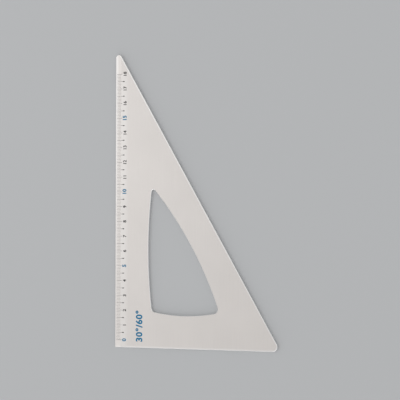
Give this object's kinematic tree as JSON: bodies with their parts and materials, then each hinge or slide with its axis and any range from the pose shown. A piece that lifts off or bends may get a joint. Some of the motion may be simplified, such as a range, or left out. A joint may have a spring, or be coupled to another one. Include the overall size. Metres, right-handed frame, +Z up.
{
  "type": "drafting triangle",
  "caption": "Flat aluminium set square with 30, 60 and 90 degree corners, a bowed window and a black centimetre scale printed along its bevelled long leg.",
  "frame": {"origin": "middle of the plate's outline box, on the underside", "axes": "+Y along the scale edge from the square corner towards the tip, +X along the base edge from the square corner towards the 60 degree corner, +Z up out of the printed face"},
  "size_m": [0.116, 0.1982, 0.002],
  "materials": {
    "anodised_aluminium": "satin",
    "black_ink": "matte",
    "blue_ink": "matte"
  },
  "bodies": {
    "root": {"plate": "anodised_aluminium", "centimetre_marks": "black_ink", "half_centimetre_marks": "black_ink", "millimetre_marks": "black_ink"}
  },
  "joints": []
}
